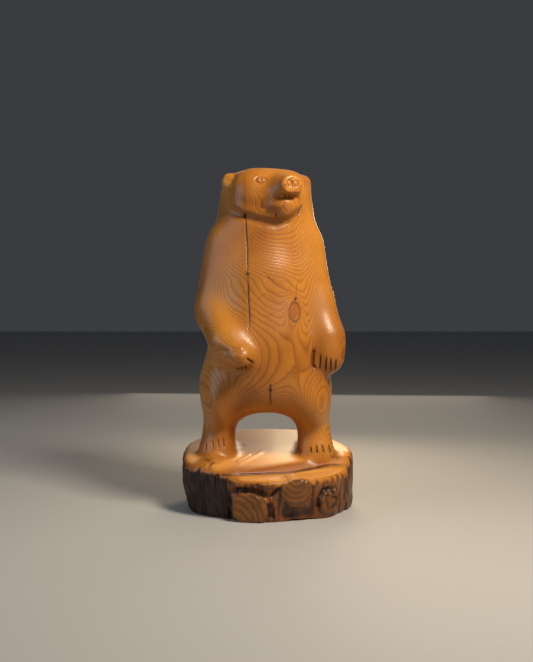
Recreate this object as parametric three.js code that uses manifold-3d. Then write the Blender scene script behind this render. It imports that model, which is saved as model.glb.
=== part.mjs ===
// A standing bear carved with its stump from one log.
// Millimetres, +Z up, the bear faces -Y, and the origin is in the middle of the underside.
// The form is roughed out as one field of blended masses, meshed and thinned,
// and then cut with gouge-shaped solids, in the order a carver works.
import * as THREE from 'three';
import { mergeVertices } from 'three/addons/utils/BufferGeometryUtils.js';
import Module from 'manifold-3d';

// Driving dimensions
const TOTAL_HEIGHT = 894;
const STUMP_RADIUS = 228;
const STUMP_MID_HEIGHT = 146;
const STUMP_SLOPE = 0.13;
const LEDGE_HEIGHT = 110;
const STUBS = [
  { angle: -0.19, height: 36, halfWidth: 52, halfHeight: 46, reach: 221 },
  { angle: 0.34, height: 74, halfWidth: 40, halfHeight: 42, reach: 224 },
  { angle: 0.8, height: 38, halfWidth: 42, halfHeight: 46, reach: 224 },
];
const LEG_SPREAD = 120;
const GAP_HALF_WIDTH = 80;
const GAP_SPRING = 190;
const GAP_RISE = 62;
const HEAD_TURN = THREE.MathUtils.degToRad(24.5);
const NOSE_FACE = -160;
const NOSE_HEIGHT = 838;
const EARS = [
  [-99, 25, 857],
  [98, -28, 855],
];

// Mesh fineness
const CELL = 7;
const ROUGH_OUT_TRIANGLES = 7300;

// Field helpers: negative inside, close to a distance in millimetres
const smoothMin = (a, b, blend) => {
  const h = Math.max(blend - Math.abs(a - b), 0) / blend;
  return Math.min(a, b) - (h * h * blend) / 4;
};
const smoothMax = (a, b, blend) => -smoothMin(-a, -b, blend);
const ramp = (from, to, t) => THREE.MathUtils.smoothstep(t, from, to);

function ellipsoid([x, y, z], [cx, cy, cz], [rx, ry, rz]) {
  const u = x - cx;
  const v = y - cy;
  const w = z - cz;
  const k0 = Math.hypot(u / rx, v / ry, w / rz);
  const k1 = Math.hypot(u / rx ** 2, v / ry ** 2, w / rz ** 2);
  return k1 < 1e-9 ? -Math.min(rx, ry, rz) : (k0 * (k0 - 1)) / k1;
}

// A limb: two spheres and the cone that touches both
function limb([x, y, z], [ax, ay, az], [bx, by, bz], ra, rb) {
  const dx = bx - ax;
  const dy = by - ay;
  const dz = bz - az;
  const l2 = dx * dx + dy * dy + dz * dz;
  const rr = ra - rb;
  const a2 = l2 - rr * rr;
  const px = x - ax;
  const py = y - ay;
  const pz = z - az;
  const along = px * dx + py * dy + pz * dz;
  const beyond = along - l2;
  const across2 =
    (px * l2 - dx * along) ** 2 + (py * l2 - dy * along) ** 2 + (pz * l2 - dz * along) ** 2;
  const y2 = along * along * l2;
  const z2 = beyond * beyond * l2;
  const k = Math.sign(rr) * rr * rr * across2;
  if (Math.sign(beyond) * a2 * z2 > k) return Math.sqrt(across2 + z2) / l2 - rb;
  if (Math.sign(along) * a2 * y2 < k) return Math.sqrt(across2 + y2) / l2 - ra;
  return (Math.sqrt((across2 * a2) / l2) + along * rr) / l2 - ra;
}

function roundedBox([x, y, z], [cx, cy, cz], [hx, hy, hz], round) {
  const qx = Math.abs(x - cx) - hx + round;
  const qy = Math.abs(y - cy) - hy + round;
  const qz = Math.abs(z - cz) - hz + round;
  const outside = Math.hypot(Math.max(qx, 0), Math.max(qy, 0), Math.max(qz, 0));
  return outside + Math.min(Math.max(qx, qy, qz), 0) - round;
}

// Stump: a slice of the log, its top sloping up to the back, with a lower ledge sawn across the front
function stumpTop(x, y) {
  const platform = STUMP_MID_HEIGHT + STUMP_SLOPE * y;
  const ledge = LEDGE_HEIGHT + 0.02 * y;
  const inFront = -(y + 130 - 0.46 * (x - 40)) / 1.1;
  return THREE.MathUtils.lerp(platform, ledge, ramp(-4, 24, inFront));
}

// A sawn-off branch stub on the log's side: a boss cut flat at a given reach from the middle
function stub(p, { angle, height, halfWidth, halfHeight, reach }) {
  const out = p[0] * Math.sin(angle) - p[1] * Math.cos(angle);
  const across = p[0] * Math.cos(angle) + p[1] * Math.sin(angle);
  const boss = ellipsoid([across, out, p[2]], [0, reach - 20, height], [halfWidth, 60, halfHeight]);
  return smoothMax(boss, out - reach, 8);
}

function stump(p) {
  const [x, y, z] = p;
  const angle = Math.atan2(x, -y);
  const lobes = 3 * Math.sin(5 * angle + 0.4) + 2.5 * Math.sin(7 * angle + 2.4);
  const taper = 18 * (1 - ramp(-10, 80, z)) * (0.55 - 0.45 * Math.sin(angle));
  const hollow = 8 * (1 - ramp(50, 102, z)) * (1 - ramp(0.7, 1.3, Math.abs(angle)));
  const side = Math.hypot(x, y) - (STUMP_RADIUS - 2 + lobes - taper - hollow);
  let f = smoothMax(side, z - stumpTop(x, y), 14);
  f = smoothMax(f, -z - 3 * CELL, 4);
  f = smoothMax(f, -ellipsoid(p, [-42, -228, 48], [66, 22, 46]), 8);
  f = smoothMax(f, -ellipsoid(p, [80, -222, 8], [56, 26, 28]), 10);
  for (const place of STUBS) f = smoothMin(f, stub(p, place), 6);
  f = smoothMin(f, ellipsoid(p, [-142, -112, 128], [36, 30, 20]), 12);
  return smoothMin(f, ellipsoid(p, [210, 62, 122], [15, 24, 15]), 8);
}

// Body: the trunk and legs are one mass, and the gap between the legs is bored through it
function torso(p) {
  let f = ellipsoid(p, [-6, 4, 330], [160, 142, 110]);
  f = smoothMin(f, ellipsoid(p, [-4, -14, 430], [148, 136, 150]), 60);
  f = smoothMin(f, ellipsoid(p, [-6, 4, 590], [138, 128, 170]), 60);
  return smoothMin(f, ellipsoid(p, [0, 6, 745], [126, 108, 105]), 50);
}

function leg(p, side) {
  const middle = side * LEG_SPREAD;
  const thigh = ellipsoid(p, [middle, -4, 272], [48, 112, 92]);
  const shin = ellipsoid(p, [middle, 8, 190], [43, 86, 70]);
  const foot = limb(p, [middle, -14, 226], [middle + side * 4, -40, 148], 40, 55);
  const ball = limb(p, [middle - side * 16, -24, 186], [middle - side * 52, -56, 150], 30, 14);
  return smoothMin(smoothMin(smoothMin(thigh, shin, 20), foot, 16), ball, 20);
}

function legGap([x, , z]) {
  const rise = Math.max(z - GAP_SPRING, 0) / GAP_RISE;
  return (Math.hypot(x / GAP_HALF_WIDTH, rise) - 1) * GAP_RISE;
}

function arms(p) {
  const leftUpper = limb(p, [-106, 0, 688], [-134, -12, 532], 55, 54);
  const rightUpper = limb(p, [100, 0, 684], [126, -14, 540], 51, 50);
  return Math.min(leftUpper, rightUpper);
}

function forearms(p) {
  const leftFore = limb(p, [-132, -22, 510], [-98, -106, 440], 53, 49);
  const leftPaw = limb(p, [-96, -112, 434], [-62, -164, 402], 46, 29);
  const rightFore = limb(p, [126, -16, 538], [155, -52, 446], 50, 53);
  const rightPaw = ellipsoid(p, [163, -72, 398], [40, 40, 44]);
  return Math.min(smoothMin(leftFore, leftPaw, 20), smoothMin(rightFore, rightPaw, 26));
}

// Head, in its own frame: u to the viewer's right of the face, v to its back, z up
const turnCos = Math.cos(HEAD_TURN);
const turnSin = Math.sin(HEAD_TURN);
const intoHead = ([x, y, z]) => [
  x * turnCos + y * turnSin,
  y * turnCos - x * turnSin,
  z,
];
const outOfHead = ([u, v, z]) => [
  u * turnCos - v * turnSin,
  u * turnSin + v * turnCos,
  z,
];

function head(p) {
  const q = intoHead(p);
  let f = roundedBox(q, [0, 4, TOTAL_HEIGHT - 73], [112, 98, 71], 68);
  for (const ear of EARS) f = smoothMin(f, ellipsoid(q, ear, [21, 22, 27]), 10);
  f = smoothMin(f, limb(q, [0, -12, 798], [0, -108, 821], 84, 40), 24);
  f = smoothMin(f, limb(q, [0, -20, 790], [0, -96, 785], 76, 37), 16);
  f = smoothMin(f, ellipsoid(q, [0, -108, 787], [43, 31, 18]), 8);
  const squat = [q[0], q[1], NOSE_HEIGHT + (q[2] - NOSE_HEIGHT) * 1.16];
  const snout = limb(squat, [0, -90, NOSE_HEIGHT - 6], [0, -166, NOSE_HEIGHT], 42, 26);
  f = smoothMin(f, smoothMax(snout, NOSE_FACE - q[1], 4), 10);
  return smoothMax(f, -ellipsoid(q, [0, -154, 807], [50, 38, 7]), 6);
}

function carving(p) {
  let f = smoothMin(torso(p), smoothMin(leg(p, -1), leg(p, 1), 60), 60);
  f = smoothMax(f, -legGap(p), 24);
  f = smoothMin(f, arms(p), 54);
  f = smoothMin(f, forearms(p), 26);
  f = smoothMin(f, head(p), THREE.MathUtils.lerp(18, 60, ramp(-50, 50, p[1])));
  return smoothMin(f, stump(p), 14);
}

const slopeAt = (field, [x, y, z]) => {
  const e = 0.5;
  return [
    (field([x + e, y, z]) - field([x - e, y, z])) / (2 * e),
    (field([x, y + e, z]) - field([x, y - e, z])) / (2 * e),
    (field([x, y, z + e]) - field([x, y, z - e])) / (2 * e),
  ];
};

// Moves a point onto the field's surface, along the field's slope
function ontoSurface(field, point, steps = 3) {
  let p = point;
  for (let n = 0; n < steps; n++) {
    const g = slopeAt(field, p);
    const size2 = g[0] ** 2 + g[1] ** 2 + g[2] ** 2;
    const move = THREE.MathUtils.clamp(field(p) / size2, -CELL, CELL);
    p = p.map((c, axis) => c - move * g[axis]);
  }
  return p;
}

// Meshing: one vertex for each cell that the surface crosses, one quad for each edge that it cuts
function surfaceNet(field, low, high, cell) {
  const count = low.map((l, i) => Math.ceil((high[i] - l) / cell) + 1);
  const [nx, ny, nz] = count;
  const at = (i, j, k) => i + nx * (j + ny * k);
  const place = (i, axis) => low[axis] + i * cell;
  const value = new Float32Array(nx * ny * nz);
  for (let k = 0; k < nz; k++)
    for (let j = 0; j < ny; j++)
      for (let i = 0; i < nx; i++)
        value[at(i, j, k)] = field([place(i, 0), place(j, 1), place(k, 2)]);
  const vertexOf = new Int32Array(value.length).fill(-1);
  const points = [];
  const corners = [0, 1, 2, 3, 4, 5, 6, 7].map((c) => [c & 1, (c >> 1) & 1, c >> 2]);
  const edges = [];
  for (let a = 0; a < 8; a++) for (const bit of [1, 2, 4]) if (!(a & bit)) edges.push([a, a | bit]);
  for (let k = 0; k < nz - 1; k++)
    for (let j = 0; j < ny - 1; j++)
      for (let i = 0; i < nx - 1; i++) {
        const f = corners.map(([a, b, c]) => value[at(i + a, j + b, k + c)]);
        const sum = [0, 0, 0];
        let crossings = 0;
        for (const [a, b] of edges) {
          if (f[a] < 0 === f[b] < 0) continue;
          const t = f[a] / (f[a] - f[b]);
          for (let axis = 0; axis < 3; axis++)
            sum[axis] += corners[a][axis] + t * (corners[b][axis] - corners[a][axis]);
          crossings++;
        }
        if (!crossings) continue;
        vertexOf[at(i, j, k)] = points.length;
        points.push([i, j, k].map((n, axis) => place(n + sum[axis] / crossings, axis)));
      }
  const triangles = [];
  const step = [[1, 0, 0], [0, 1, 0], [0, 0, 1]];
  for (let k = 1; k < nz - 1; k++)
    for (let j = 1; j < ny - 1; j++)
      for (let i = 1; i < nx - 1; i++)
        for (let axis = 0; axis < 3; axis++) {
          const [di, dj, dk] = step[axis];
          const inside = value[at(i, j, k)] < 0;
          if (inside === value[at(i + di, j + dj, k + dk)] < 0) continue;
          const [ui, uj, uk] = step[(axis + 1) % 3];
          const [wi, wj, wk] = step[(axis + 2) % 3];
          const a = vertexOf[at(i - ui - wi, j - uj - wj, k - uk - wk)];
          const b = vertexOf[at(i - wi, j - wj, k - wk)];
          const c = vertexOf[at(i, j, k)];
          const d = vertexOf[at(i - ui, j - uj, k - uk)];
          if (inside) triangles.push([a, b, c], [a, c, d]);
          else triangles.push([a, c, b], [a, d, c]);
        }
  return { points: points.map((p) => ontoSurface(field, p)), triangles };
}

// Thinning: collapses the edge that changes the surface least, again and again, by quadric error
class EdgeHeap {
  items = [];
  push(item) {
    const h = this.items;
    let i = h.push(item) - 1;
    while (i > 0) {
      const parent = (i - 1) >> 1;
      if (h[parent].cost <= item.cost) break;
      h[i] = h[parent];
      i = parent;
    }
    h[i] = item;
  }
  pop() {
    const h = this.items;
    const top = h[0];
    const last = h.pop();
    if (h.length) {
      let i = 0;
      for (;;) {
        let child = 2 * i + 1;
        if (child >= h.length) break;
        if (child + 1 < h.length && h[child + 1].cost < h[child].cost) child++;
        if (h[child].cost >= last.cost) break;
        h[i] = h[child];
        i = child;
      }
      h[i] = last;
    }
    return top;
  }
}

function thin({ points, triangles }, wanted, weightAt) {
  const minus = (a, b) => [a[0] - b[0], a[1] - b[1], a[2] - b[2]];
  const dot = (a, b) => a[0] * b[0] + a[1] * b[1] + a[2] * b[2];
  const normalOf = (a, b, c) => {
    const u = minus(b, a);
    const v = minus(c, a);
    return [u[1] * v[2] - u[2] * v[1], u[2] * v[0] - u[0] * v[2], u[0] * v[1] - u[1] * v[0]];
  };
  const facesOf = points.map(() => new Set());
  triangles.forEach((t, f) => t.forEach((v) => facesOf[v].add(f)));

  // A quadric holds the sum of squared distances to planes, as ten numbers of a symmetric matrix
  const quadrics = points.map(() => new Float64Array(10));
  triangles.forEach(([a, b, c]) => {
    const n = normalOf(points[a], points[b], points[c]);
    const size = Math.hypot(...n);
    const [x, y, z] = n.map((q) => q / size);
    const w = -dot([x, y, z], points[a]);
    const weight = (size / 2) * weightAt(points[a]);
    const q = [x * x, x * y, x * z, x * w, y * y, y * z, y * w, z * z, z * w, w * w];
    for (const v of [a, b, c]) q.forEach((value, i) => (quadrics[v][i] += weight * value));
  });
  const errorAt = (q, [x, y, z]) =>
    q[0] * x * x + 2 * q[1] * x * y + 2 * q[2] * x * z + 2 * q[3] * x + q[4] * y * y +
    2 * q[5] * y * z + 2 * q[6] * y + q[7] * z * z + 2 * q[8] * z + q[9];
  const bestPlace = (q, a, b) => {
    const middle = a.map((value, i) => (value + b[i]) / 2);
    const m = new THREE.Matrix3().set(q[0], q[1], q[2], q[1], q[4], q[5], q[2], q[5], q[7]);
    const scale = (q[0] + q[4] + q[7]) ** 3;
    if (Math.abs(m.determinant()) < 1e-5 * scale) return middle;
    const place = new THREE.Vector3(-q[3], -q[6], -q[8]).applyMatrix3(m.invert()).toArray();
    const reach = Math.hypot(...minus(a, b));
    return Math.hypot(...minus(place, middle)) < reach ? place : middle;
  };

  const stamp = new Int32Array(points.length);
  const heap = new EdgeHeap();
  const offer = (a, b) => {
    const q = quadrics[a].map((value, i) => value + quadrics[b][i]);
    const place = bestPlace(q, points[a], points[b]);
    const length2 = minus(points[a], points[b]).reduce((s, d) => s + d * d, 0);
    const cost = errorAt(q, place) + 2e-3 * length2 * weightAt(place);
    heap.push({ cost, a, b, place, stampA: stamp[a], stampB: stamp[b] });
  };
  const neighbours = (v) => {
    const found = new Set();
    for (const f of facesOf[v]) for (const w of triangles[f]) if (w !== v) found.add(w);
    return found;
  };
  const flips = (v, other, place) => {
    for (const f of facesOf[v]) {
      const t = triangles[f];
      if (t.includes(other)) continue;
      const before = normalOf(...t.map((w) => points[w]));
      const after = normalOf(...t.map((w) => (w === v ? place : points[w])));
      if (dot(before, after) < 0.3 * Math.hypot(...before) * Math.hypot(...after)) return true;
    }
    return false;
  };

  triangles.forEach(([a, b, c]) => [[a, b], [b, c], [c, a]].forEach(([s, e]) => s < e && offer(s, e)));
  let left = triangles.length;
  while (left > wanted && heap.items.length) {
    const { a, b, place, stampA, stampB } = heap.pop();
    if (stampA !== stamp[a] || stampB !== stamp[b]) continue;
    const aroundA = neighbours(a);
    const shared = [...neighbours(b)].filter((v) => aroundA.has(v));
    if (shared.length !== 2 || flips(a, b, place) || flips(b, a, place)) continue;
    for (const f of [...facesOf[b]]) {
      const t = triangles[f];
      if (t.includes(a)) {
        t.forEach((v) => facesOf[v].delete(f));
        triangles[f] = null;
        left--;
      } else {
        t[t.indexOf(b)] = a;
        facesOf[a].add(f);
      }
    }
    facesOf[b].clear();
    points[a] = place;
    quadrics[b].forEach((value, i) => (quadrics[a][i] += value));
    stamp[a]++;
    stamp[b] = -1;
    for (const v of neighbours(a)) offer(a, v);
  }
  return { points, triangles: triangles.filter(Boolean) };
}

// Solids to and from triangle meshes
const wasm = await Module();
wasm.setup();

function solidOf(geometry) {
  const bare = geometry.clone();
  bare.deleteAttribute('normal');
  bare.deleteAttribute('uv');
  const merged = mergeVertices(bare, 1e-3);
  return new wasm.Manifold(
    new wasm.Mesh({
      numProp: 3,
      vertProperties: new Float32Array(merged.attributes.position.array),
      triVerts: new Uint32Array(merged.index.array),
    }),
  );
}

function geometryOf(solid) {
  const mesh = solid.getMesh();
  const geometry = new THREE.BufferGeometry();
  geometry.setAttribute('position', new THREE.Float32BufferAttribute(mesh.vertProperties, 3));
  geometry.setIndex(new THREE.BufferAttribute(mesh.triVerts, 1));
  geometry.computeVertexNormals();
  return geometry;
}

// Places on the surface, as seen from the front
function onFront(x, z) {
  let low = -STUMP_RADIUS - 40;
  while (carving([x, low, z]) > 0 && low < STUMP_RADIUS) low += 2;
  return ontoSurface(carving, [x, low, z]);
}

// A gouge cut: a spindle laid in the surface between two places, as wide and deep as given
function gouge(from, to, width, depth) {
  const start = new THREE.Vector3(...from);
  const end = new THREE.Vector3(...to);
  const middle = start.clone().add(end).multiplyScalar(0.5);
  const along = end.clone().sub(start).normalize();
  const outward = new THREE.Vector3(...slopeAt(carving, middle.toArray()));
  const across = new THREE.Vector3().crossVectors(outward, along).normalize();
  const up = new THREE.Vector3().crossVectors(along, across);
  const seated = ontoSurface(carving, middle.toArray());
  const frame = new THREE.Matrix4().makeBasis(across, up, along).setPosition(...seated);
  const spindle = new THREE.SphereGeometry(1, 7, 6);
  spindle.rotateX(Math.PI / 2);
  spindle.scale(width / 2, depth, start.distanceTo(end) / 2);
  return spindle.applyMatrix4(frame);
}

// A ring cut, flat in the surface, that leaves its middle standing
function ringCut(place, halfWidth, halfHeight, groove) {
  const outward = new THREE.Vector3(...slopeAt(carving, place)).normalize();
  const across = new THREE.Vector3(0, 0, 1).cross(outward).normalize();
  const up = new THREE.Vector3().crossVectors(outward, across);
  const frame = new THREE.Matrix4().makeBasis(across, up, outward).setPosition(...place);
  const ring = new THREE.TorusGeometry(1, groove / halfHeight, 5, 12);
  ring.scale(halfWidth, halfHeight, halfHeight);
  return ring.applyMatrix4(frame);
}

function scoop(place, radii, turn) {
  const ball = new THREE.SphereGeometry(1, 12, 10).scale(...radii).rotateZ(turn);
  return ball.translate(...place);
}

// Claws and toes: rows of gouge cuts, given by their places as seen from the front
function clawCuts({ middles, top, bottom, lean, width, depth }) {
  return middles.map((x) => gouge(onFront(x - lean, top), onFront(x + lean, bottom), width, depth));
}

function faceCuts() {
  const cuts = [];
  for (const side of [-1, 1]) {
    const eye = ontoSurface(carving, outOfHead([side * 60, -98, 854]));
    cuts.push(ringCut(eye, 13, 8.5, 2.6));
    const nostril = ontoSurface(carving, outOfHead([side * 10.5, NOSE_FACE, NOSE_HEIGHT + 2]));
    cuts.push(ringCut(nostril, 6.5, 6.5, 2));
  }
  for (const [u, v, z] of EARS) {
    cuts.push(scoop(outOfHead([u * 1.04, v - 24, z + 4]), [10, 8, 15], HEAD_TURN));
  }
  const noseTop = ontoSurface(carving, outOfHead([0, NOSE_FACE, NOSE_HEIGHT + 10]));
  const noseFoot = ontoSurface(carving, outOfHead([0, NOSE_FACE, NOSE_HEIGHT - 10]));
  cuts.push(gouge(noseTop, noseFoot, 5, 5));
  return cuts;
}

const importance = (p) => {
  const inFace = p[2] > 760 && p[1] < -30;
  return inFace ? 6 : 1;
};
const margin = 3 * CELL;
const rough = surfaceNet(
  carving,
  [-STUMP_RADIUS - margin, -STUMP_RADIUS - margin, -5 * CELL],
  [STUMP_RADIUS + margin, STUMP_RADIUS + margin, TOTAL_HEIGHT + margin],
  CELL,
);
const light = thin(rough, ROUGH_OUT_TRIANGLES, importance);

const roughOut = new THREE.BufferGeometry();
roughOut.setAttribute('position', new THREE.Float32BufferAttribute(light.points.flat(), 3));
roughOut.setIndex(light.triangles.flat());

const below = new THREE.BoxGeometry(3 * STUMP_RADIUS, 3 * STUMP_RADIUS, 200).translate(0, 0, -100);
const cuts = [
  below,
  ...faceCuts(),
  ...clawCuts({ middles: [137, 151, 164, 176], top: 408, bottom: 360, lean: -1, width: 6, depth: 7 }),
  ...clawCuts({ middles: [-153, -138, -123, -110], top: 188, bottom: 154, lean: -2, width: 6, depth: 7 }),
  ...clawCuts({ middles: [111, 127, 144, 159], top: 182, bottom: 148, lean: 2, width: 6, depth: 7 }),
  ...clawCuts({ middles: [-72, -58, -44], top: 388, bottom: 370, lean: 3, width: 6, depth: 6 }),
];
const solid = cuts.reduce((left, cut) => left.subtract(solidOf(cut)), solidOf(roughOut));

const form = geometryOf(solid);
form.computeBoundingBox();
const middle = form.boundingBox.getCenter(new THREE.Vector3());
form.translate(-middle.x, -middle.y, 0);

const bear = new THREE.Mesh(
  form,
  new THREE.MeshStandardMaterial({ color: 0xb5702f, roughness: 0.35 }),
);
bear.name = 'carved_bear';
const group = new THREE.Group();
group.add(bear);
export default group;
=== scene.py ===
# %% [markdown]
# # A bear carved from one log
# The object is a bear that stands upright on its stump, cut with a saw and gouges from one piece of
# softwood, sanded and varnished. This lesson dresses the plain solid of it: the solid is copied, sanded
# smooth, cut with fine strokes, and given wood with growth rings, a knot, checks and bark. Blender counts
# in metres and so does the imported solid. Carvers count in millimetres, so sizes and places below are in
# millimetres unless a comment says otherwise, and MM turns one into the other.

import math

import bmesh
import bpy
import numpy as np
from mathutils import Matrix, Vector, noise
from mathutils.bvhtree import BVHTree


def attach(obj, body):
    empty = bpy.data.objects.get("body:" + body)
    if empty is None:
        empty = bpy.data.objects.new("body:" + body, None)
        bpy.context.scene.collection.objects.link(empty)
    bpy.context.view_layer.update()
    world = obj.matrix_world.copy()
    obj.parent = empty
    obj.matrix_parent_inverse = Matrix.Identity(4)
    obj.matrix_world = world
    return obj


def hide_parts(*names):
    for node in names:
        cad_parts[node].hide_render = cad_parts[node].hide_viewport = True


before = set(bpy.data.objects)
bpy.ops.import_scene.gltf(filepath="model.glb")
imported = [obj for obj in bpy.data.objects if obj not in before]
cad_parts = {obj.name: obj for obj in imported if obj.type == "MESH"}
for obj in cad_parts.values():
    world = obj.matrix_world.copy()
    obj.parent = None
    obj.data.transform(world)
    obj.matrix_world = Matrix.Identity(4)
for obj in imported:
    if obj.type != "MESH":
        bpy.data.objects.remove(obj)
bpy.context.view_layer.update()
MM = 0.001

# %% [markdown]
# ## Camera
# The carving is looked at from straight ahead, a little above its middle, with upright lines kept upright.
# A photographer does this with a level camera and a shifted lens, so the camera here is level too, and
# shift_y lowers the frame. The focal length is given in pixels of the 533 x 662 frame, which makes it easy
# to turn a pixel into a line of sight: that is how the knot, checks and claws below find their places on
# the surface.

# %% Camera and lines of sight
FRAME_WIDTH, FRAME_HEIGHT = 533, 662
FOCAL_PIXELS = 977
HORIZON_ROW = 294
SENSOR_WIDTH = 36
EYE = Vector((-4.6, -2604.4, 561)) * MM

camera = bpy.data.objects.new("camera", bpy.data.cameras.new("camera"))
bpy.context.scene.collection.objects.link(camera)
bpy.context.scene.camera = camera
camera.location = EYE
camera.rotation_euler = (math.radians(90), 0, 0)
camera.data.sensor_width = SENSOR_WIDTH
camera.data.lens = SENSOR_WIDTH * FOCAL_PIXELS / FRAME_HEIGHT
camera.data.shift_y = (HORIZON_ROW - FRAME_HEIGHT / 2) / FRAME_HEIGHT


def sight(column, row):
    """The direction in which the camera sees a pixel."""
    across = (column - FRAME_WIDTH / 2) / FOCAL_PIXELS
    return Vector((across, 1, (HORIZON_ROW - row) / FOCAL_PIXELS)).normalized()


def pixels_of(points):
    """The pixel at which the camera sees each place, given in mm."""
    away = points[:, 1] - EYE.y / MM
    columns = FRAME_WIDTH / 2 + FOCAL_PIXELS * (points[:, 0] - EYE.x / MM) / away
    rows = HORIZON_ROW - FOCAL_PIXELS * (points[:, 2] - EYE.z / MM) / away
    return np.column_stack([columns, rows])


print("lens in mm:", round(camera.data.lens, 1), "shift:", round(camera.data.shift_y, 3))

# %% [markdown]
# ## A fine skin over the rough-out
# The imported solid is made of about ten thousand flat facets. A voxel Remesh gives the copy an even skin of
# small quads, like clay pressed over the wood. The copy is welded first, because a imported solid's facets
# don't share their corners. A search tree of the solid is kept, to press the skin back onto it where edges
# must stay crisp.

# %% Copy, weld and remesh
TOUCHING = 0.01 * MM  # in metres, what is closer than this counts as touching
SKIN_QUAD = 5.9

bear = bpy.data.objects.new("bear_and_stump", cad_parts["carved_bear"].data.copy())
bpy.context.scene.collection.objects.link(bear)

weld = bmesh.new()
weld.from_mesh(bear.data)
bmesh.ops.remove_doubles(weld, verts=weld.verts, dist=TOUCHING)
weld.to_mesh(bear.data)
weld.free()


def surface_of(obj):
    """A search tree of the object's faces."""
    faces = bmesh.new()
    faces.from_mesh(obj.data)
    tree = BVHTree.FromBMesh(faces)
    faces.free()
    return tree


def settle(obj):
    """Makes what the modifiers show the object's own mesh."""
    shown = obj.evaluated_get(bpy.context.evaluated_depsgraph_get())
    mesh = bpy.data.meshes.new_from_object(shown)
    obj.modifiers.clear()
    obj.data = mesh


solid = surface_of(bear)
skin = bear.modifiers.new("skin", "REMESH")
skin.mode = "VOXEL"
skin.voxel_size = SKIN_QUAD * MM
settle(bear)
print("faces in the skin:", len(bear.data.polygons))

# %% [markdown]
# ## A finer muzzle
# The nose is a sawn disc with a crisp rim and the mouth is a narrow slot, too small for quads of nearly
# six millimetres. Edges on the muzzle are divided once and the new points are pressed onto the solid. The
# head is turned to one side, so places on it are easier to give in a frame that turns with it.

# %% Divide the muzzle and press it onto the solid
def places_of(obj):
    """All of a mesh's points, in mm, as rows of an array."""
    values = np.zeros(len(obj.data.vertices) * 3)
    obj.data.vertices.foreach_get("co", values)
    return values.reshape(-1, 3) / MM


def directions_of(obj):
    """The outward direction at each of a mesh's points."""
    values = np.zeros(len(obj.data.vertices) * 3)
    obj.data.vertex_normals.foreach_get("vector", values)
    return values.reshape(-1, 3)


def ramp(low, high, t):
    """0 at low, 1 at high, and an easy curve between."""
    u = np.clip((t - low) / (high - low), 0, 1)
    return u * u * (3 - 2 * u)


def divide(obj, chosen):
    """Divides each edge whose middle the test chooses, and leaves only triangles and quads."""
    work = bmesh.new()
    work.from_mesh(obj.data)
    middles = np.array([(e.verts[0].co + e.verts[1].co) / (2 * MM) for e in work.edges])
    edges = [edge for edge, want in zip(work.edges, chosen(middles)) if want]
    bmesh.ops.subdivide_edges(work, edges=edges, cuts=1, use_grid_fill=True)
    bmesh.ops.triangulate(work, faces=[face for face in work.faces if len(face.verts) > 4])
    work.to_mesh(obj.data)
    work.free()


HEAD_TURN = math.radians(24.5)
LOG_AXIS = (-4.6, 2.6)  # x and y of the upright line that the head turns on
MUZZLE_BACK, MUZZLE_SIDE, MUZZLE_FOOT = -90, 52, 768


def in_head(points):
    """Places in the head's own frame: right of its face, back from it, and up."""
    x, y = points[:, 0] - LOG_AXIS[0], points[:, 1] - LOG_AXIS[1]
    turn, lean = math.cos(HEAD_TURN), math.sin(HEAD_TURN)
    return np.column_stack([x * turn + y * lean, y * turn - x * lean, points[:, 2]])


def on_muzzle(points):
    """1 on the nose, mouth and lip, and 0 on the rest."""
    right, back, up = in_head(points).T
    front = ramp(MUZZLE_BACK + 6, MUZZLE_BACK - 6, back)
    between = ramp(MUZZLE_SIDE + 6, MUZZLE_SIDE - 6, np.abs(right))
    return front * between * ramp(MUZZLE_FOOT - 4, MUZZLE_FOOT + 4, up)


divide(bear, lambda points: on_muzzle(points) > 0.1)
for index in np.flatnonzero(on_muzzle(places_of(bear)) > 0.5):
    point = bear.data.vertices[index]
    point.co = solid.find_nearest(point.co)[0]
print("points on the muzzle:", int((on_muzzle(places_of(bear)) > 0.5).sum()))

# %% [markdown]
# ## Sanding
# On the real bear the saw's facets were sanded away before varnishing. A Smooth modifier does the sanding,
# and a vertex group says how hard: fully on the body, half as hard on the stump, and hardly at all on the
# muzzle. The nose's face was sawn flat, so its points are then moved onto one plane.

# %% Sand
TOP_SLOPE = 0.13  # rise of the stump's top towards the back

place = places_of(bear)
on_stump = 1 - ramp(120, 150, place[:, 2] - TOP_SLOPE * place[:, 1])
sanding = bear.vertex_groups.new(name="sanding")
for index, hold in enumerate(np.maximum(0.95 * on_muzzle(place), 0.5 * on_stump)):
    sanding.add([index], 1 - hold, "REPLACE")
sand = bear.modifiers.new("sand", "SMOOTH")
sand.factor = 0.5
sand.iterations = 16
sand.vertex_group = "sanding"
settle(bear)
print("sanded points:", len(bear.data.vertices))

# %% Flatten the nose's face
NOSE_FACE, NOSE_ROOT, NOSE_HEIGHT = -160, -146, 838
DISC_HALF_WIDTH, DISC_HALF_HEIGHT = 23, 19.5

forward = np.array([math.sin(HEAD_TURN), -math.cos(HEAD_TURN), 0])
place = places_of(bear)
right, back, up = in_head(place).T
disc = np.hypot(right / DISC_HALF_WIDTH, (up - NOSE_HEIGHT) / DISC_HALF_HEIGHT) < 1
disc &= back < NOSE_ROOT
place[disc] += forward * (back[disc] - NOSE_FACE)[:, None]
bear.data.vertices.foreach_set("co", (place * MM).ravel())
bear.data.update()
print("points on the nose's face:", int(disc.sum()))

# %% [markdown]
# ## Finding places on the surface
# A carver draws on the wood before cutting. Here each mark is a short list of pixels, and a ray from the
# camera through each pixel finds the point of the surface under it. A BVH tree makes thousands of rays
# quick.

# %% Rays from the camera onto the surface
NOSE_PIXEL = (291.4, 184.4)
PATCH = 14  # reach of the patch whose direction is averaged

surface = surface_of(bear)


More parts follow.
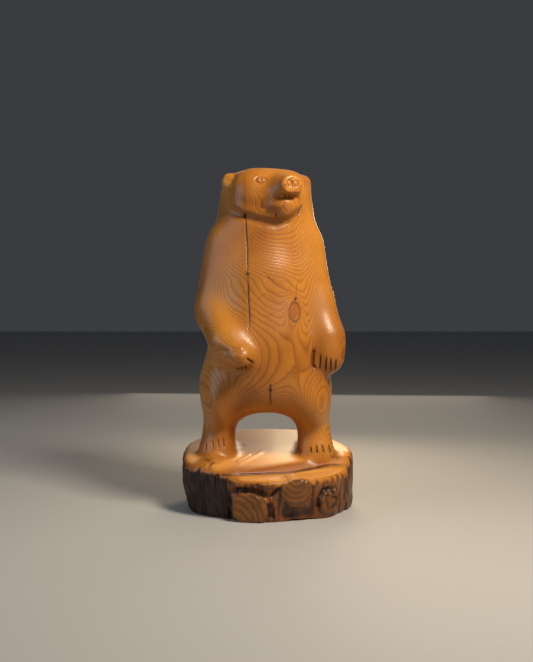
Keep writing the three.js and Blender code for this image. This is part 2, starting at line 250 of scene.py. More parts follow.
def seen(*pixels):
    """The surface points, in mm, that the camera sees at these pixels."""
    hits = [surface.ray_cast(EYE, sight(*pixel))[0] for pixel in pixels]
    return np.array([hit for hit in hits if hit is not None]) / MM


def facing(centre):
    """The nearest surface to a place, and across, up and outward on the patch round it."""
    near = surface.find_nearest_range(Vector(centre) * MM, PATCH * MM)
    spot = surface.find_nearest(Vector(centre) * MM)[0]
    outward = np.sum([np.array(found[1]) for found in near], axis=0)
    outward = outward / np.linalg.norm(outward)
    across = np.cross((0, 0, 1), outward)
    across = across / np.linalg.norm(across)
    return np.array(spot) / MM, across, np.cross(outward, across), outward


def along(line, points):
    """How far each pixel is from a line of pixels, and how far along it the pixel lies, from 0 to 1."""
    best = np.full(len(points), np.inf)
    where = np.zeros(len(points))
    steps = np.linalg.norm(np.diff(line, axis=0), axis=1)
    run = np.concatenate([[0], np.cumsum(steps)]) / steps.sum()
    for start, end, a, b in zip(line[:-1], line[1:], run[:-1], run[1:]):
        t = np.clip(((points - start) @ (end - start)) / ((end - start) ** 2).sum(), 0, 1)
        away = np.linalg.norm(points - start - t[:, None] * (end - start), axis=1)
        closer = away < best
        best[closer] = away[closer]
        where[closer] = (a + t * (b - a))[closer]
    return best, where


print("the middle of the nose is at", seen(NOSE_PIXEL).round())

# %% [markdown]
# ## Cut list
# Every fine cut on the bear is a stroke of a knife or gouge, or a check, which is a split that opens as a
# log dries. Each stroke is a named line of pixels with half a width and a depth in mm, with how much
# painted shade darkens its groove, or for a few marks how much real stain, and how much pitch. A depth
# below zero stands up as a ridge, like the two that the saw left on the stump's top. The strokes are only
# listed here. They could be cut one by one as solids, but a list lets the skin be made finer under all of
# them first. Left and right are the viewer's.

# %% Strokes on the paws
DEPTH_ROOM = 16  # how far before or behind its own points a stroke still cuts
strokes = []


def stroke(line, wide, deep=0.0, stain_and_shade=0.0, pitch=0.0, blunt=1.0):
    """Adds a stroke: wide is half its width, and blunt is 1 for a V groove and less for a round one."""
    depths = seen(*line)[:, 1]
    strokes.append({
        "line": np.array(line, float),
        "nearest": depths.min() - DEPTH_ROOM, "farthest": depths.max() + DEPTH_ROOM,
        "wide": wide, "deep": deep, "stain_and_shade": stain_and_shade, "pitch": pitch, "blunt": blunt,
    })


RIGHT_CLAWS = (((320.5, 354.5), (319.4, 370)), ((326.2, 356.5), (325.1, 371.5)),
               ((330.9, 358), (330.4, 371.5)), ((336.4, 359), (334.9, 370.5)))
RIGHT_THUMB = ((313.9, 348), (313, 356), (312.8, 364), (315.8, 370.4))
LEFT_THUMB = ((246.8, 358.2), (254.2, 363.4))
LEFT_CLAW_TOPS = ((238, 367.6), (241.6, 367.2), (245.6, 366.2))
LEFT_WRIST_HOLLOW = ((216.6, 347.6), (222, 350.6), (229, 352.6))
LEFT_WRIST_RIDGE = ((231.7, 347.6), (237, 347), (243.3, 348.2))

# The darkening in the claws' grooves, the thumbs' notches and the wrist's hollow is painted shade.
for claw in RIGHT_CLAWS:
    stroke(claw, wide=2.6, deep=4.5, stain_and_shade=0.7)
stroke(RIGHT_THUMB, wide=5, deep=7, stain_and_shade=0.5, blunt=0.8)
stroke(LEFT_THUMB, wide=3, deep=5, stain_and_shade=0.85)
for column, row in LEFT_CLAW_TOPS:
    stroke(((column, row), (column + 0.5, row + 3)), wide=3, deep=5, stain_and_shade=0.85)
stroke(LEFT_WRIST_HOLLOW, wide=11, deep=4, stain_and_shade=0.16, blunt=0.7)
stroke(LEFT_WRIST_RIDGE, wide=6, deep=-2.5)
print("strokes on the paws:", len(strokes))

# %% Creases of the head, and checks
JAW = ((228, 207), (236, 213), (245, 216.4), (262, 221.6), (275, 223.6), (288, 220.6), (299, 214))
JAW_ROLL = [(column, row - 7) for column, row in JAW]
LONG_CHECK_TOP = ((245, 214), (245.6, 225), (246.3, 237), (247, 249), (247.3, 275))
LONG_CHECK_FOOT = ((247.3, 275), (247.8, 286), (248.3, 298), (249.3, 318), (248.6, 330))
LONG_CHECK_END = ((244.8, 213.6), (245.2, 218.4))
LONG_CHECK_HOLE = ((247.2, 272.6), (247.4, 276.6))
JAW_CHECK = ((301.9, 205.2), (300, 210.5), (298, 216.4))
CHIN_NICK = ((276, 213.8), (275, 217.4))
LEG_CHECK = ((270.2, 383), (270, 394), (270.4, 405))
LEG_CHECK_HOLE = ((270, 388.6), (270, 391.6))
KNOT_CHECK = ((296.8, 283), (296.4, 291), (296, 298))
KNOT_CHECK_HOLE = ((295.8, 297.6), (295.8, 301))
PIN_HOLE = ((308.6, 320.4), (309.2, 322))
CHEEK_PITCH = ((244.4, 178), (244.6, 196), (245, 213))
LEFT_EAR_CREASE = ((235, 173.4), (233.6, 180), (230.4, 188))
LEFT_EAR_HOLLOW = ((225.4, 175.6), (226.4, 182))
RIGHT_EAR_CREASE = ((303.2, 174), (305.4, 181), (306.4, 190))

# The darkening in the jaw's crease, the ear creases, the checks and their holes is painted shade, with pitch
# along the long check; on the chin's nick and along the cheek it is a real stain.
stroke(JAW, wide=15, deep=7, stain_and_shade=0.12, blunt=0.9)
stroke(JAW_ROLL, wide=16, deep=-4, blunt=0.9)
stroke(LONG_CHECK_TOP, wide=3.2, deep=3, stain_and_shade=0.36, pitch=0.8)
stroke(LONG_CHECK_FOOT, wide=3.2, deep=3, stain_and_shade=0.45, pitch=0.8)
stroke(LONG_CHECK_END, wide=5, deep=3, stain_and_shade=0.9)
stroke(LONG_CHECK_HOLE, wide=5.5, deep=2, stain_and_shade=0.9)
stroke(JAW_CHECK, wide=3, deep=3, stain_and_shade=0.75)
stroke(CHIN_NICK, wide=3.6, deep=2, stain_and_shade=0.6, pitch=0.6)
stroke(LEG_CHECK, wide=2.8, deep=2.5, stain_and_shade=0.6)
stroke(LEG_CHECK_HOLE, wide=5, deep=2, stain_and_shade=0.8)
stroke(KNOT_CHECK, wide=1.8, deep=1, stain_and_shade=0.25, pitch=0.4)
stroke(KNOT_CHECK_HOLE, wide=4.6, deep=1.5, stain_and_shade=0.75)
stroke(PIN_HOLE, wide=2.6, deep=1, stain_and_shade=0.6)
stroke(CHEEK_PITCH, wide=3.4, stain_and_shade=0.12, pitch=0.5)
stroke(LEFT_EAR_CREASE, wide=7, deep=2.5, stain_and_shade=0.12, blunt=0.8)
stroke(LEFT_EAR_HOLLOW, wide=9, deep=2, stain_and_shade=0.08, blunt=0.7)
stroke(RIGHT_EAR_CREASE, wide=5, deep=2, stain_and_shade=0.12)
print("strokes with the head and the checks:", len(strokes))

# %% Pitch lines beside the belly's knot
PITCH_LOOP_TOP = ((255, 305), (258.3, 298.3), (264, 294), (271.7, 296.7), (275.8, 303.3))
PITCH_LOOP_FOOT = ((275.8, 303.3), (275, 311.7), (268.3, 316.7), (260, 315), (255, 305))
PITCH_BAR = ((263.3, 293.3), (276.7, 292), (296.7, 293.3))
PITCH_SWEEP = ((261.7, 268.3), (268.7, 278.3), (276.7, 283.3), (285.8, 281.7))
PITCH_HOLE = ((268, 276.8), (269.2, 279.4))

stroke(PITCH_LOOP_TOP, wide=2, pitch=0.55)
stroke(PITCH_LOOP_FOOT, wide=2, pitch=0.55)
stroke(PITCH_BAR, wide=1.8, pitch=0.4)
stroke(PITCH_SWEEP, wide=1.8, pitch=0.5)
# The hole's darkening is painted shade, with pitch round it.
stroke(PITCH_HOLE, wide=3, deep=1, stain_and_shade=0.5, pitch=0.5)
print("strokes with the pitch lines:", len(strokes))

# %% Strokes on the feet and the sawn top
LEFT_TOES = (((206.4, 442.6), (205.4, 451)), ((212.4, 440.2), (212.8, 450.2)),
             ((217.8, 439.4), (218.8, 448.8)), ((223.2, 438.2), (224.2, 447.4)))
RIGHT_TOES = (((310.7, 447), (310.9, 453)), ((316.4, 445.4), (317.2, 453.8)),
              ((322.4, 444.8), (323.8, 453.2)), ((328.8, 445), (331.2, 454)))
TOP_STAIN = ((243.4, 443.8), (244.8, 446.6))
SAW_RIDGES = (((235.8, 462.5), (243, 458.8), (251.7, 454.2)),
              ((235, 466.7), (250, 458.8), (264, 451.2)))
RIM_LUMP = ((346.4, 449.6), (347.6, 455))
LEDGE_BAND = ((215, 474.6), (238, 471), (263, 470.4), (280, 467.6), (296, 466.6),
              (313, 464.4), (332, 461.8))
LEDGE_CREASE = ((213, 476.4), (238.3, 474.2), (263.3, 473.6), (280, 473), (295, 471.7),
                (313.3, 468.4), (330, 465), (349, 465))
LEDGE_CHECKS = (((267.2, 478.5), (266.6, 486)), ((284, 474.6), (289, 480.4)))

# The darkening in the toes' grooves, the ledge's crease and its checks is painted shade; the small mark on
# the sawn top is a real stain.
for toe in LEFT_TOES:
    stroke(toe, wide=2.4, deep=3.5, stain_and_shade=0.42)
for toe in RIGHT_TOES:
    stroke(toe, wide=3.0, deep=5, stain_and_shade=0.65)
stroke(TOP_STAIN, wide=4, stain_and_shade=0.6)
for ridge in SAW_RIDGES:
    stroke(ridge, wide=6, deep=-2.6)
stroke(RIM_LUMP, wide=9, deep=-6, blunt=0.7)
stroke(LEDGE_BAND, wide=13, pitch=1.0, blunt=0.6)
stroke(LEDGE_CREASE, wide=3.4, deep=3, stain_and_shade=0.7)
for check in LEDGE_CHECKS:
    stroke(check, wide=1.8, deep=1, stain_and_shade=0.4)
print("strokes with the feet and the sawn top:", len(strokes))

# %% Crevices between the stump's stubs
BURL_TOP = ((229, 492.4), (238, 490.4), (250, 490.8), (262, 494), (270, 498.4))
BURL_CORNER = ((270, 498.4), (275, 493), (280.4, 487.6))
BURL_RIGHT = ((269.4, 502), (271, 511), (272.6, 521))
BURL_LEFT = ((228.4, 497), (228, 507), (231, 519))
TONGUE_FOOT = ((280, 511), (292, 515), (304, 515), (316, 511))
SWIRL_LEFT = ((317.4, 513), (318.6, 500), (324, 490.6), (335, 487))
SWIRL_RIGHT = ((344, 492), (346, 505), (343, 517))

# Each crevice is cut and filled with painted shadow.
stroke(BURL_TOP, wide=9, deep=10, stain_and_shade=1.0, blunt=0.6)
stroke(BURL_CORNER, wide=6.5, deep=8, stain_and_shade=1.0, blunt=0.7)
stroke(BURL_RIGHT, wide=9, deep=9, stain_and_shade=1.0, blunt=0.6)
stroke(BURL_LEFT, wide=7, deep=7, stain_and_shade=0.9, blunt=0.7)
stroke(TONGUE_FOOT, wide=20, deep=7, stain_and_shade=0.95, blunt=0.6)
stroke(SWIRL_LEFT, wide=8, deep=7, stain_and_shade=0.95, blunt=0.6)
stroke(SWIRL_RIGHT, wide=5, deep=4, stain_and_shade=0.7, blunt=0.7)
print("strokes in all:", len(strokes))

# %% [markdown]
# ## Finer skin where the cuts go
# A groove three millimetres wide can't be cut in quads of six. Only the edges near a narrow stroke are
# divided, twice, so the rest of the skin stays light. The eyes, the nose and the belly's knot are divided
# twice too. The stump's front is divided before them, and only once more where a stroke crosses it.

# %% Divide the skin near the cuts
PIXEL_SIZE = 2.5  # mm of the bear under one pixel
NARROW = 10  # half width under which a stroke needs a finer skin
STUMP_SHOULDER, STUMP_RADIUS = 116, 185
LEFT_EYE_PIXEL = (260.8, 179.6)
RIGHT_EYE = (88, -66, 854)
KNOT_PIXEL = (294.7, 311.9)

EYES = [seen(LEFT_EYE_PIXEL)[0], facing(RIGHT_EYE)[0]]
NOSE = seen(NOSE_PIXEL)[0]
SPOTS = np.array([*EYES, NOSE, seen(KNOT_PIXEL)[0]])


def beside(each, points, room):
    """The points within room of a stroke's edge, with their distance in mm and place along it."""
    pixels = pixels_of(points)
    reach = (each["wide"] + room) / PIXEL_SIZE
    low, high = each["line"].min(0) - reach, each["line"].max(0) + reach
    inside = ((pixels > low) & (pixels < high)).all(1)
    inside &= (points[:, 1] > each["nearest"]) & (points[:, 1] < each["farthest"])
    inside = np.flatnonzero(inside)
    away, where = along(each["line"], pixels[inside])
    close = away < reach
    return inside[close], away[close] * PIXEL_SIZE, where[close]


def near_strokes(points, room):
    """Tells which points are within room of any narrow stroke."""
    found = np.zeros(len(points), bool)
    for each in strokes:
        if each["wide"] < NARROW:
            found[beside(each, points, room)[0]] = True
    return found


def near_spots(points, reach):
    """Tells which points are within reach of an eye, the nose or the knot."""
    return np.min([np.linalg.norm(points - spot, axis=1) for spot in SPOTS], axis=0) < reach


def on_stump_front(points):
    """Tells which points are on the stump's side where the camera sees it."""
    x, y, up = points.T
    return (up < STUMP_SHOULDER) & (up > 1) & (np.hypot(x, y) > STUMP_RADIUS) & (y < 20)


divide(bear, on_stump_front)
divide(bear, lambda points: near_strokes(points, 4) | near_spots(points, 28))
divide(bear, lambda points: near_strokes(points, 1) & ~on_stump_front(points) | near_spots(points, 20))
print("faces after dividing:", len(bear.data.polygons))

# %% [markdown]
# ## Cutting the strokes
# Each stroke pushes the skin inwards along its own direction, most in the middle of the groove and less
# towards its ends. It also leaves values from 0 to 1 at each point that darken the wood: painted shade in
# grooves and crevices, real stains, and pitch.

# %% Cut
place = places_of(bear)
outward = directions_of(bear)
stain_and_shade = np.zeros(len(place))
amber = np.zeros(len(place))


def wander(points, size, seed):
    """Smooth noise from about -1 to 1 whose lumps are this many mm across."""
    return np.array([noise.noise((p[0] / size + seed, p[1] / size, p[2] / size)) for p in points])


def cut(each):
    """Sinks one stroke into the skin and darkens it with its painted shade, stain and pitch."""
    spots, away, where = beside(each, place, 2)
    uneven = 1 + 0.4 * wander(place[spots], 14, 6.1)
    groove = np.clip(1 - away / each["wide"], 0, 1) ** each["blunt"]
    ends = np.clip(np.minimum(where, 1 - where) * 6, 0.15, 1)
    place[spots] -= outward[spots] * (each["deep"] * groove * ends)[:, None]
    shade_and_stain_falloff = np.clip(1.3 - away / each["wide"], 0, 1) * np.sqrt(ends) * uneven
    stain_and_shade[spots] = np.maximum(stain_and_shade[spots], np.clip(each["stain_and_shade"] * shade_and_stain_falloff, 0, 1))
    amber[spots] = np.maximum(amber[spots], np.clip(each["pitch"] * shade_and_stain_falloff, 0, 1))


for each in strokes:
    cut(each)
print("points stained by the cuts:", int((stain_and_shade > 0.1).sum()))

# %% [markdown]
# ## Eyes and nose
# The eyes are shallow almonds: a groove for the lids, a bump for the eyeball, and one curved gouge cut
# that makes the pupil's shadow. The nose is a sawn disc with two ring cuts for the nostrils and a short
# groove between them. The shapes are relief on the skin, so each feature is a height worked out from a
# point's place in the feature's plane, and shade is painted into the grooves, the pupils and the mouth.

# %% Carve the eyes
EYE_HALF_LENGTH, EYE_HALF_HEIGHT = 12.5, 8.8
EYE_REACH = 26


def carve_eye(centre, to_nose, depth):
    """Cuts one eye; to_nose is 1 if the nose is to the right of it, and -1 if to the left."""
    spot, across, up, out = facing(centre)
    offset = place - spot
    a, b = (offset @ across) * to_nose, offset @ up
    near = (np.abs(offset @ out) < 20) & (np.hypot(a, b) < EYE_REACH)
    a, b = a[near], b[near]
    almond = np.hypot(a / EYE_HALF_LENGTH, b / (EYE_HALF_HEIGHT - 0.12 * a))
    lids = np.exp(-(((almond - 1.1) / 0.2) ** 2))
    pupil = np.exp(-(((a - 1 - 0.05 * b * b) / 2.4) ** 2)) * ramp(7, 4.5, np.abs(b))
    lift = 4 * np.clip(1 - almond**2, 0, None) - 2.4 * lids - 4 * pupil
    place[near] += out * (depth * lift)[:, None]
    # painted shade in the lids' groove and in the pupil's cut
    stain_and_shade[near] = np.maximum(stain_and_shade[near], depth * np.maximum(0.3 * lids, 0.85 * pupil))


carve_eye(EYES[0], 1, 0.75)
carve_eye(EYES[1], -1, 0.4)
print("eyes at", np.round(EYES).tolist())

# %% Carve the nose and paint shade into the mouth
NOSTRIL_OUT, NOSTRIL_RADIUS = 9, 6
MOUTH_HEIGHT = 807

right, back, up = in_head(place).T
near = (np.hypot(right, up - NOSE_HEIGHT) < 19) & (back < NOSE_ROOT)
a, b = right[near], up[near] - NOSE_HEIGHT
rings = np.zeros(len(a))
for way in (-1, 1):
    from_middle = np.hypot(a - way * NOSTRIL_OUT, (b - 1) * 0.9)
    rings = np.maximum(rings, np.exp(-(((from_middle - NOSTRIL_RADIUS) / 1.6) ** 2)))
parting = np.exp(-(((a + 0.4) / 2) ** 2)) * ramp(10, 6, np.abs(b))
place[near] -= forward * (1.8 * rings + 3.4 * parting)[:, None]
# painted shade in the nostril rings and the groove between them
stain_and_shade[near] = np.maximum(stain_and_shade[near], np.maximum(0.12 * rings, 0.5 * parting))
# painted shade inside the mouth's slot, on the faces that turn inwards behind the lips
behind_lips = ramp(-148, -138, back)
turned_in = ramp(0.3, -0.2, outward @ forward)
in_mouth = on_muzzle(place) * ramp(7, 3, np.abs(up - MOUTH_HEIGHT)) * behind_lips * turned_in
stain_and_shade = np.maximum(stain_and_shade, 0.5 * in_mouth)
print("nose at", NOSE.round())

# %% [markdown]
# ## Growth rings
# A log grows one ring a year round its pith, and a carved surface cuts through the rings: where it runs
# along them they spread into wide arches, and where it crosses them they crowd. So the rings aren't drawn
# on the surface. Each point gets its distance from the pith, with a slow wander, and the material turns
# distance into rings. A knot is the foot of a branch: the rings swerve round it, and it has tight rings of
# its own.

# %% The ring value at each point
PITH = (8.0, 12.0)
PITH_LEAN, LEAN_FROM = 0.25, 600
RING_SPACING = 3.5
KNOT_HALF_SIZE = (5.5, 9.7)
ELSEWHERE = 9  # a distance well outside any knot or stub

stretched = place * (1, 1, 0.3)
pith_y = PITH[1] - PITH_LEAN * np.maximum(place[:, 2] - LEAN_FROM, 0)
ring = np.hypot(place[:, 0] - PITH[0], place[:, 1] - pith_y)
ring += 4.5 * wander(stretched, 100, 3.1) + 1.1 * wander(stretched, 34, 7.7)

column, row = ((pixels_of(place) - KNOT_PIXEL) / KNOT_HALF_SIZE).T
on_belly = (outward[:, 1] < -0.2) & (place[:, 1] < -60)
oval = np.where(on_belly, np.hypot(column, row), ELSEWHERE)
ring += 20 * np.exp(-((oval / 1.5) ** 2))
inside_knot = ramp(1.06, 0.94, oval)
own_rings = 13 * oval + 3 * wander(place, 9, 5.5)
ring = ring * (1 - inside_knot) + own_rings * inside_knot
stain_and_shade = np.maximum(stain_and_shade, 0.7 * np.exp(-(((oval - 1) / 0.1) ** 2)))
amber = np.maximum(amber, 0.55 * inside_knot + 0.2 * ramp(1.7, 1.1, oval))
print("rings cut by the surface:", int((ring.max() - ring.min()) / RING_SPACING))

# %% [markdown]
# ## The stump's side
# The stump keeps what the log was: dark bark in upright flutes on the left and behind, stubs of sawn-off
# branches in front, and a stripped brown flank on the right. Bark is made twice over, as relief in the
# mesh and as a value for the material. Angles are measured round the log from the front, positive to the
# right.

# %% Where the bark is
MM_PER_DEGREE = 3.9
STUMP_TOP = 146
LEDGE_TOP, LEDGE_SLOPE = 110, 0.02
LEDGE_OUT, LEDGE_SKEW = 130, 0.46

x, y, height = (place - (*LOG_AXIS, 0)).T
angle = np.degrees(np.arctan2(x, -y))
arc = angle * MM_PER_DEGREE
on_ledge = ramp(-4, 24, -(y + LEDGE_OUT - LEDGE_SKEW * (x - 40)) / 1.1)
top = (LEDGE_TOP + LEDGE_SLOPE * y) * on_ledge + (STUMP_TOP + TOP_SLOPE * y) * (1 - on_ledge)
side = ramp(0.45, 0.75, np.hypot(outward[:, 0], outward[:, 1])) * ramp(165, 190, np.hypot(x, y))
side = side * ramp(3, -3, height - top) * ramp(0.5, 3, height)
girth = np.column_stack([arc, np.zeros(len(place)), height])
ragged = wander(girth * (1, 1, 0.4), 13, 2.2)
rim = top - 11 + 15 * ragged
left_bark = ramp(-20, -27, angle + 3 * ragged)
right_bark = ramp(84, 98, angle + 6 * ragged)
bark = side * np.maximum(left_bark, right_bark) * ramp(3, -5, height - rim)
flutes = 1 - np.abs(wander(girth * (1, 1, 0.16), 11, 9.4))
plates = wander(girth * (1, 1, 0.5), 5, 1.3)
place += outward * (bark * (15 * flutes - 13 + 1.3 * plates))[:, None]
# painted shade in the hollows between the bark's flutes
stain_and_shade = np.maximum(stain_and_shade, bark * np.clip(2.6 - 2.8 * flutes, 0, 0.95))
print("bark points:", int((bark > 0.5).sum()))

# %% Stubs of branches
def boss(middle, level, half_angle, half_height):
    """0 in the middle of a stub, 1 at its edge and more outside it."""
    across, up = np.abs(angle - middle) / half_angle, np.abs(height - level) / half_height
    return np.where(side > 0.05, np.hypot(across, up) + 0.1 * wander(girth, 13, middle), ELSEWHERE)


twist = wander(girth, 15, 4.4)
fan = np.hypot(arc + 84, (height + 16) * 0.8) + 5 * twist
tongue_bands = np.hypot((arc - 76) * 1.3, height - 122) + 2 * twist
whorl = 1.2 * np.hypot(arc - 180, height - 42) + 20 * twist
burl = boss(-11, 34, 11.5, 38)
tongue = boss(20, 72, 10 + 0.03 * (height - 72), 36)
swirl = boss(46, 40, 11, 42)
stub = np.zeros(len(place))
for edge, bands in ((burl, fan), (tongue, tongue_bands), (swirl, whorl)):
    here = side * ramp(1.1, 0.94, edge)
    ring = ring * (1 - here) + 1.4 * bands * here
    stub = np.maximum(stub, here)
    place += outward * (here * 1.1 * np.sin(bands / 2.2))[:, None]
gnarl = side * ramp(1.05, 0.8, swirl)
place += outward * (gnarl * 2.6 * np.sin(whorl / 4.4))[:, None]
# painted shade in the troughs of the swirl's whorls
stain_and_shade = np.maximum(stain_and_shade, gnarl * (0.35 - 0.3 * np.sin(whorl / 4.4)))
print("points on the stubs:", int((stub > 0.5).sum()))

# %% The stripped flank
stripped = side * (1 - bark) * (1 - stub) * ramp(4, -8, height - rim)
grooves = 1 - np.abs(wander(girth * (1, 1, 0.22), 15, 3.3))
place += outward * (stripped * (6 * grooves - 5.4))[:, None]
# painted shade in the flank's grooves; the flank is also darker all over, and darker still beyond 52 degrees
# round to the right
stain_and_shade = np.maximum(stain_and_shade, stripped * np.clip(1.7 - 1.5 * grooves + 0.3 * ramp(52, 64, angle), 0.3, 0.88))
amber = np.maximum(amber, 0.9 * stripped)
print("points on the stripped flank:", int((stripped > 0.5).sum()))

# %% [markdown]
# ## Sawn top and rough spots
# The stump's top was sawn, not sanded, and it is paler because it was cut across the log. At the left
# foot's outer edge and on both sides of the right foot the chisel left a broken patch, so the skin there
# is lifted by lumpy noise, with shade painted into its dips. Each patch is given as a pixel and its half
# width and height in pixels.

# %% Sawn top and rough spots
ROUGH_SPOTS = (((208.6, 464), (8, 8.5)), ((299, 450), (3.4, 6)), ((336, 456), (6, 4)))

pale = ramp(0.75, 0.95, outward[:, 2]) * ramp(10, 4, np.abs(height - top)) * ramp(90, 100, height)
pixels = pixels_of(place)
for middle, half in ROUGH_SPOTS:
    rough = ramp(1.1, 0.5, np.hypot(*((pixels - middle) / half).T)) * (place[:, 1] < 20)
    lumps = wander(place, 8, 8.8)
    place += outward * (rough * 3 * lumps)[:, None]
    # painted shade in the patches' dips
    stain_and_shade = np.maximum(stain_and_shade, rough * np.clip(0.3 - 1.2 * lumps, 0, 0.7))
print("points on the sawn top:", int((pale > 0.5).sum()))

# %% [markdown]
# ## Values that the material can read
# A mesh can carry a named number for each of its points, called an attribute. That suits marks that follow
# the carving better than a painted image would, because the numbers stay with their points. The points low
# on the underside are set level first, so that the stump stands flat.

# %% Store the values on the mesh
STANDING = 2.5  # points lower than this that face down are set on the floor


def store(obj, name, numbers):
    """Stores one number for each point, which the material reads by its name."""
    obj.data.attributes.new(name, "FLOAT", "POINT").data.foreach_set("value", numbers)


resting = (place[:, 2] < STANDING) & (outward[:, 2] < -0.6)
place[resting, 2] = 0
place[:, 2] = np.maximum(place[:, 2], 0)
bear.data.vertices.foreach_set("co", (place * MM).ravel())
values = {"ring": ring, "stain_and_shade": stain_and_shade, "bark": bark, "amber": amber, "pale": pale, "stub": stub}
for name, numbers in values.items():
    store(bear, name, numbers)
bear.data.update()
print("values at each point:", ", ".join(values))

# %% [markdown]
# ## A plain underside
# Nobody sees the flat face that the stump stands on, so its many small faces are taken out and the hole is
# filled with large triangles.

# %% Close the underside with large faces
flat = bmesh.new()
flat.from_mesh(bear.data)
under = [face for face in flat.faces if max(vert.co.z for vert in face.verts) < TOUCHING]
bmesh.ops.delete(flat, geom=under, context="FACES")
rim_edges = [edge for edge in flat.edges if edge.is_boundary]
bmesh.ops.triangle_fill(flat, edges=rim_edges, use_beauty=True, normal=(0, 0, -1))
open_edges = [edge for edge in flat.edges if not edge.is_manifold]
flat.to_mesh(bear.data)
flat.free()
print("faces in the skin:", len(bear.data.polygons), "open edges:", len(open_edges))

# %% [markdown]
# ## Varnished softwood
# The wood is pale honey with thin red-brown lines where each year's growth ended, under an amber gloss
# varnish. The stored ring value, wobbled by fine noise, is cut into years, and a ramp gives each year its
# slow darkening and its sharp dark end. Bark, sawn tops, knots, stains and painted shade are mixed over it
# by their stored values, and the coat of the Principled shader is the varnish.

# %% Small helpers for nodes
MIX_SOCKETS, MIX_RESULT = (0, 6, 7), 2

wood = bpy.data.materials.new("varnished_softwood")
wood.use_nodes = True
tree = wood.node_tree
shader = tree.nodes["Principled BSDF"]


def node(kind, **settings):
    """Adds a shader node with these settings."""
    made = tree.nodes.new("ShaderNode" + kind)
    for name, value in settings.items():
        setattr(made, name, value)
    return made


def feed(socket, term):
    """Gives an input a number, a colour or a wire."""
    if isinstance(term, (int, float)):
        socket.default_value = term
    elif isinstance(term, tuple):
        socket.default_value = (*term, 1)
    else:
        tree.links.new(term, socket)


def stored(name):
    """A value stored on the mesh."""
    return node("Attribute", attribute_name=name).outputs["Fac"]


def sums(operation, *terms):
    """A Math node."""
    made = node("Math", operation=operation)
    for socket, term in zip(made.inputs, terms):
        feed(socket, term)
    return made.outputs[0]


def mixed(factor, first, second, mode="MIX"):
    """A Mix node for colours, whose sockets come after those for numbers and vectors."""
    made = node("Mix", data_type="RGBA", blend_type=mode)
    for socket, term in zip(MIX_SOCKETS, (factor, first, second)):
        feed(made.inputs[socket], term)
    return made.outputs[MIX_RESULT]


def shades(factor, *stops):
    """A grey ramp with stops of (position, brightness)."""
    made = node("ValToRGB")
    points = made.color_ramp.elements
    while len(points) < len(stops):
        points.new(0.5)
    for point, (position, grey) in zip(points, stops):
        point.position = position
        point.color = (grey, grey, grey, 1)
    feed(made.inputs["Fac"], factor)
    return made.outputs["Color"]


coordinates = node("TexCoord")


def speckle(scale, detail, stretch=(1, 1, 1)):
    """A Noise node on Object coordinates, stretched along the axes."""
    spread = node("Mapping")
    spread.inputs["Scale"].default_value = stretch
    feed(spread.inputs["Vector"], coordinates.outputs["Object"])
    made = node("TexNoise")
    made.inputs["Scale"].default_value = scale
    made.inputs["Detail"].default_value = detail
    feed(made.inputs["Vector"], spread.outputs[0])
    return made.outputs["Fac"]


print("material:", wood.name)

# %% Colours of the wood
HONEY = ((0.34, 0.104, 0.011), (0.64, 0.262, 0.036))
RED_BROWN = ((0.15, 0.037, 0.004), (0.30, 0.096, 0.010))
SAWN_FACE = ((0.74, 0.33, 0.072), (0.42, 0.145, 0.024))
PITCH_AMBER = ((0.30, 0.075, 0.008), (0.13, 0.028, 0.004))
STUB_BROWN = ((0.06, 0.019, 0.004), (0.34, 0.125, 0.018))
STUB_LINES = (0.060, 0.020, 0.006)
BARK_BROWN = ((0.008, 0.004, 0.003), (0.060, 0.028, 0.014))
# the dark of real stains and of the shade painted into grooves, holes, crevices and hollows
STAIN_AND_SHADE_BLACK = (0.026, 0.008, 0.004)

wobble = sums("MULTIPLY_ADD", speckle(70, 2), 1.2, stored("ring"))
year = sums("FRACT", sums("DIVIDE", wobble, RING_SPACING))
late = shades(year, (0, 0.3), (0.12, 0), (0.55, 0.08), (0.84, 0.6), (0.93, 1), (1, 0.3))
fibre = speckle(1, 3, (420, 420, 16))
cloud = shades(speckle(6, 3, (1, 1, 0.6)), (0.3, 0), (0.7, 1))
early_wood = mixed(cloud, *HONEY)
late_wood = mixed(cloud, *RED_BROWN)
grain = mixed(sums("MULTIPLY", late, 0.7), early_wood, late_wood)
grain = mixed(0.35, grain, shades(fibre, (0.3, 0.62), (0.7, 1)), "MULTIPLY")
sawn = mixed(sums("MULTIPLY", late, 0.4), *SAWN_FACE)
grain = mixed(sums("MULTIPLY", stored("pale"), 0.85), grain, sawn)
pitch = mixed(late, *PITCH_AMBER)
grain = mixed(sums("MULTIPLY", stored("amber"), 0.8), grain, pitch)
stub_light = mixed(speckle(30, 4), *STUB_BROWN)
stub_wood = mixed(sums("MULTIPLY", late, 0.8), stub_light, STUB_LINES)
grain = mixed(stored("stub"), grain, stub_wood)
crust = mixed(speckle(90, 4, (1, 1, 0.3)), *BARK_BROWN)
grain = mixed(stored("bark"), grain, crust)
# stains and painted shade darken the grain by their stored value
feed(shader.inputs["Base Color"], mixed(stored("stain_and_shade"), grain, STAIN_AND_SHADE_BLACK))
print("nodes in the wood:", len(tree.nodes))

# %% Varnish and fine relief
shader.inputs["Specular IOR Level"].default_value = 0.3
shader.inputs["Coat Weight"].default_value = 0.32
shader.inputs["Coat Roughness"].default_value = 0.22
feed(shader.inputs["Roughness"], sums("MULTIPLY_ADD", stored("bark"), 0.4, 0.42))
relief = node("Bump")
relief.inputs["Strength"].default_value = 0.6
relief.inputs["Distance"].default_value = 0.3 * MM
feed(relief.inputs["Height"], sums("SUBTRACT", fibre, late))
feed(shader.inputs["Normal"], relief.outputs["Normal"])
feed(shader.inputs["Coat Normal"], relief.outputs["Normal"])
bear.data.materials.clear()
bear.data.materials.append(wood)
bear.data.shade_smooth()
print("nodes with the varnish:", len(tree.nodes))

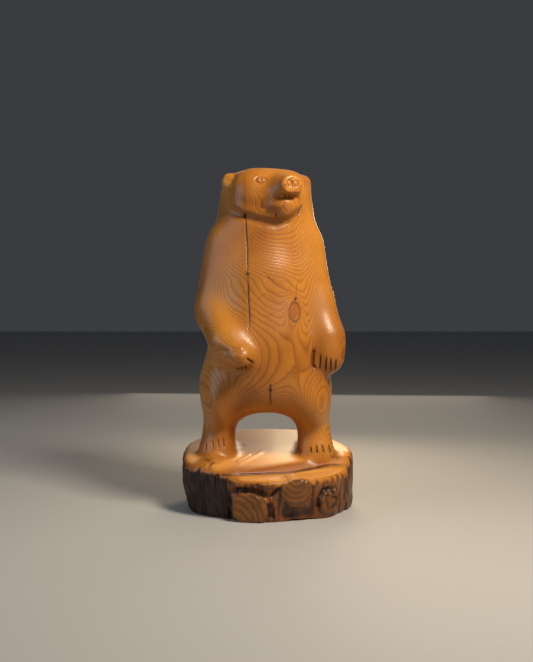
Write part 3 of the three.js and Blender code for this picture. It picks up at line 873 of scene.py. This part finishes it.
# %% [markdown]
# ## Floor and light
# A plain pale floor and five soft lamps: a warm key from high on the right, a cool wide fill on the left
# that draws the long soft reflections on the varnish, a weak one in front, and two weak warm ones behind,
# a large one for the back and a small low one for the sawn top between the legs. A dim grey sky fills the
# rest. The floor and the lamps are in metres.

# %% Floor
FLOOR_HALF_SIZE = 12
FLOOR_GREY = (0.46, 0.45, 0.44, 1)

floor_mesh = bpy.data.meshes.new("floor")
flat = bmesh.new()
bmesh.ops.create_grid(flat, x_segments=1, y_segments=1, size=FLOOR_HALF_SIZE)
flat.to_mesh(floor_mesh)
flat.free()
floor = bpy.data.objects.new("floor", floor_mesh)
bpy.context.scene.collection.objects.link(floor)
pale_floor = bpy.data.materials.new("pale_floor")
pale_floor.use_nodes = True
floor_shader = pale_floor.node_tree.nodes["Principled BSDF"]
floor_shader.inputs["Base Color"].default_value = FLOOR_GREY
floor_shader.inputs["Roughness"].default_value = 0.7
floor.data.materials.append(pale_floor)
print("floor in m:", 2 * FLOOR_HALF_SIZE, "square")


# %% Lamps
def soft_lamp(name, spot, aim, size, watts, colour):
    """A square area lamp at a spot, turned to a point."""
    lamp = bpy.data.objects.new(name, bpy.data.lights.new(name, "AREA"))
    bpy.context.scene.collection.objects.link(lamp)
    lamp.data.size = size
    lamp.data.energy = watts
    lamp.data.color = colour
    lamp.visible_camera = False
    lamp.location = spot
    lamp.rotation_euler = (Vector(aim) - Vector(spot)).to_track_quat("-Z", "Y").to_euler()


soft_lamp("key", (0.9, -1.05, 1.85), (0, 0, 0.6), size=0.55, watts=54, colour=(1.0, 0.88, 0.70))
soft_lamp("cool_fill", (-2.5, -0.7, 1.1), (0, 0, 0.5), size=1.8, watts=19, colour=(0.70, 0.84, 1.0))
soft_lamp("front", (-0.3, -3.4, 1.8), (0, 0, 0.45), size=2.0, watts=4, colour=(1.0, 0.95, 0.9))
soft_lamp("back_card", (0.2, 2.6, 1.0), (0, 0, 0.3), size=2.0, watts=8, colour=(1.0, 0.86, 0.68))
soft_lamp("low_back", (0.2, 1.0, 0.72), (0, 0.08, 0.16), size=0.4, watts=4, colour=(1.0, 0.76, 0.46))
studio = bpy.data.worlds.new("studio")
studio.use_nodes = True
sky = studio.node_tree.nodes["Background"]
sky.inputs["Color"].default_value = (0.30, 0.32, 0.36, 1)
sky.inputs["Strength"].default_value = 0.14
bpy.context.scene.world = studio
bpy.context.scene.view_settings.view_transform = "Standard"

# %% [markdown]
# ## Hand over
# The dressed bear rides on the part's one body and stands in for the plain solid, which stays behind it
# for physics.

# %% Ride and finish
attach(bear, "root")
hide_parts("carved_bear")
print("triangles:", sum(len(face.vertices) - 2 for face in bear.data.polygons))
